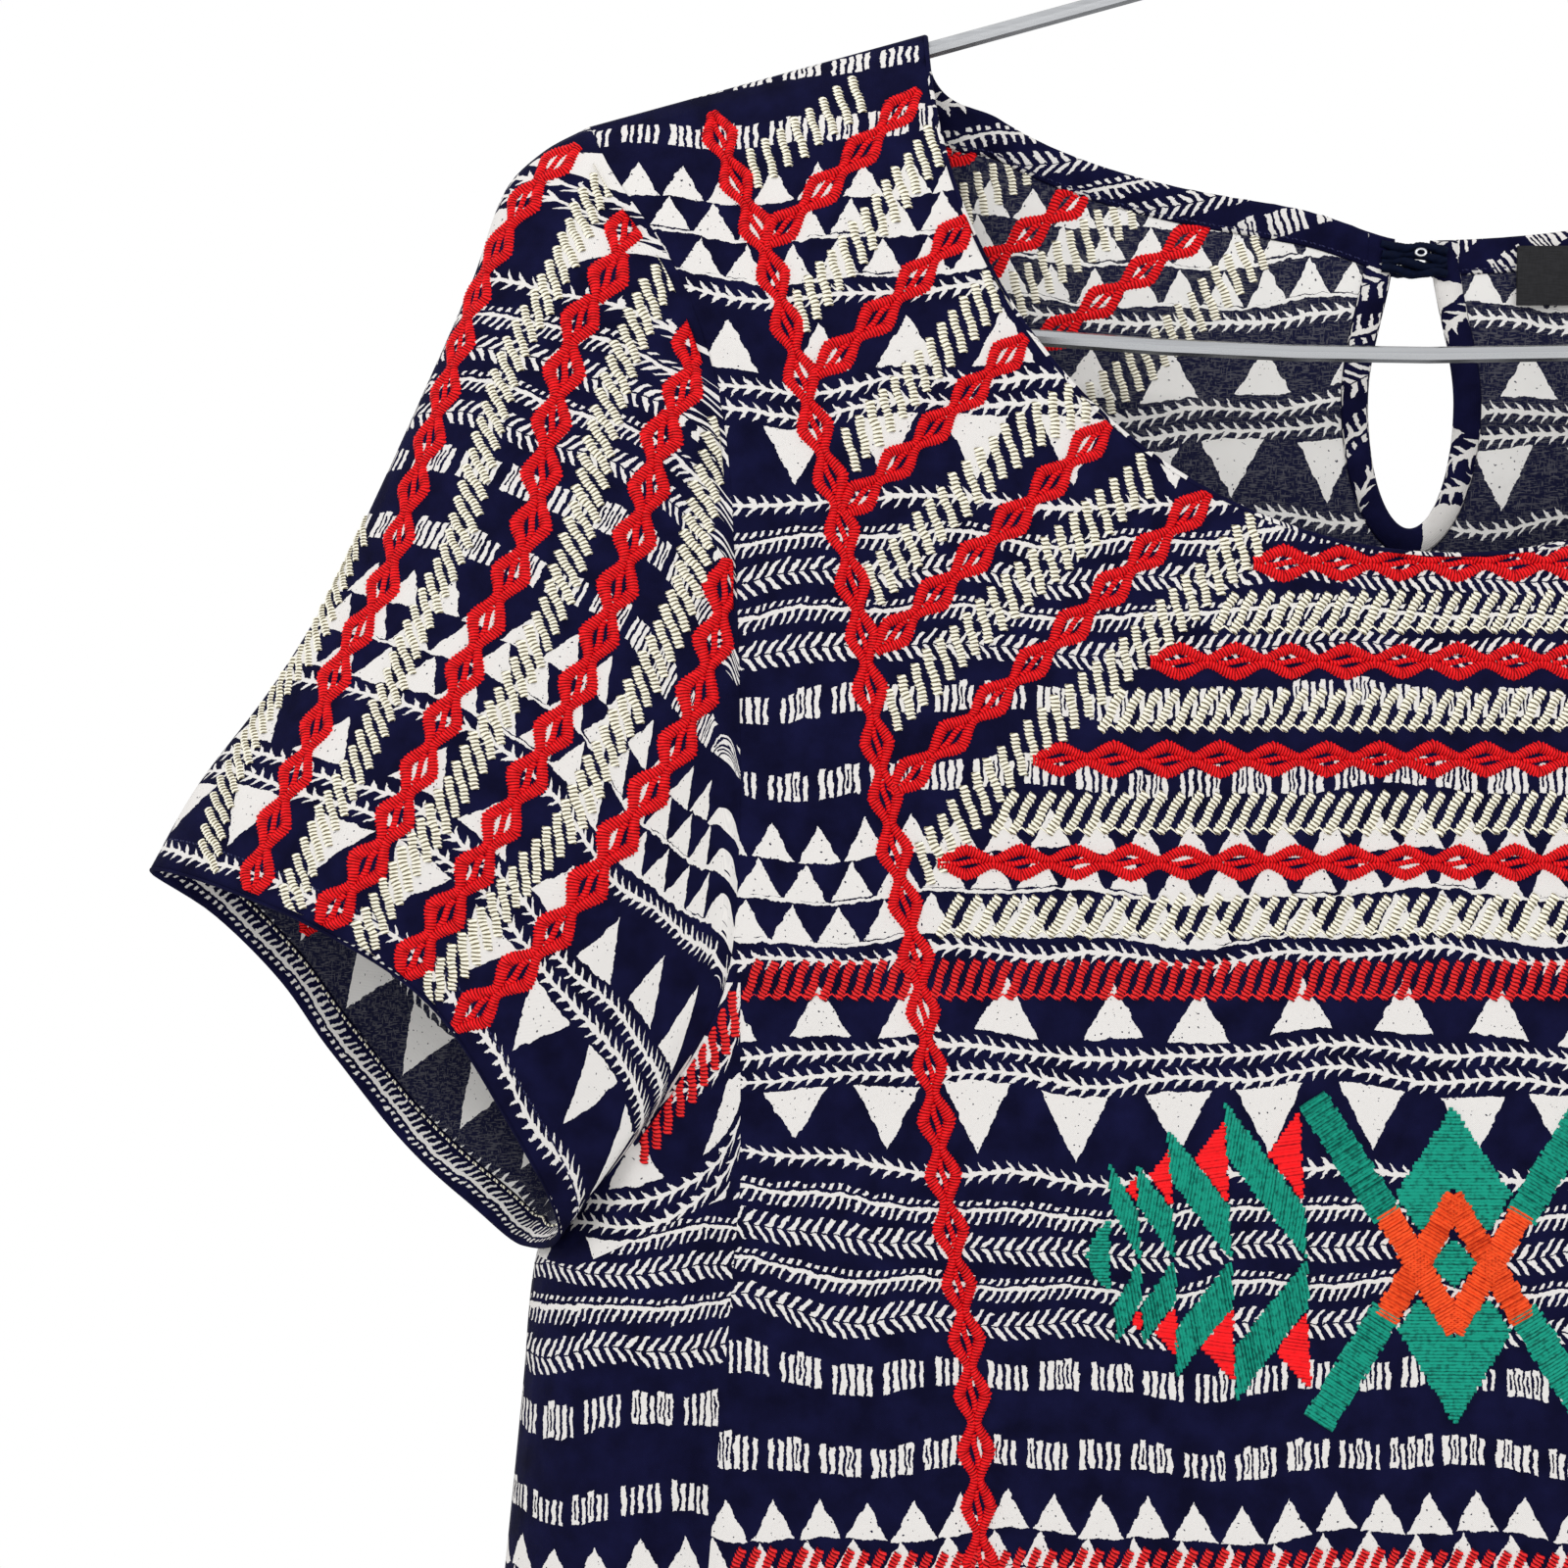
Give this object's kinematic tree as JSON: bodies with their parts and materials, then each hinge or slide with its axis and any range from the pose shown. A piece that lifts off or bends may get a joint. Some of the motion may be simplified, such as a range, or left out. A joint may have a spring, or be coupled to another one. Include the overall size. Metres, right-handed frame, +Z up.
{
  "type": "embroidered dress on hanger",
  "caption": "Short-sleeved shift dress in printed cloth with thread embroidery, a bound round neck and a back keyhole, on a bent steel wire hanger.",
  "frame": {"origin": "top of the inside of the hanger's hook, where a rail or a peg carries it", "axes": "+Z up, the dress faces -Y, +X to the viewer's right; centre front at X = 0"},
  "size_m": [0.6406, 0.1148, 1.0022],
  "materials": {
    "front": "matt woven rayon, printed navy and ivory, embroidered",
    "back": "matt woven rayon, printed navy and ivory, embroidered",
    "sleeve_left": "matt woven rayon, printed navy and ivory, embroidered",
    "sleeve_right": "matt woven rayon, printed navy and ivory, embroidered",
    "neck_binding": "folded bias strip of the dress cloth",
    "keyhole_binding": "folded bias strip of the dress cloth",
    "neck_label": "plain black woven label",
    "button": "small dark shank button",
    "button_loop": "thin cloth rouleau",
    "hanger": "bright drawn wire"
  },
  "bodies": {
    "root": {"front": "front", "back": "back", "sleeve_left": "sleeve_left", "sleeve_right": "sleeve_right", "neck_binding": "neck_binding", "keyhole_binding": "keyhole_binding", "neck_label": "neck_label", "button": "button", "button_loop": "button_loop", "hanger": "hanger"}
  },
  "joints": []
}
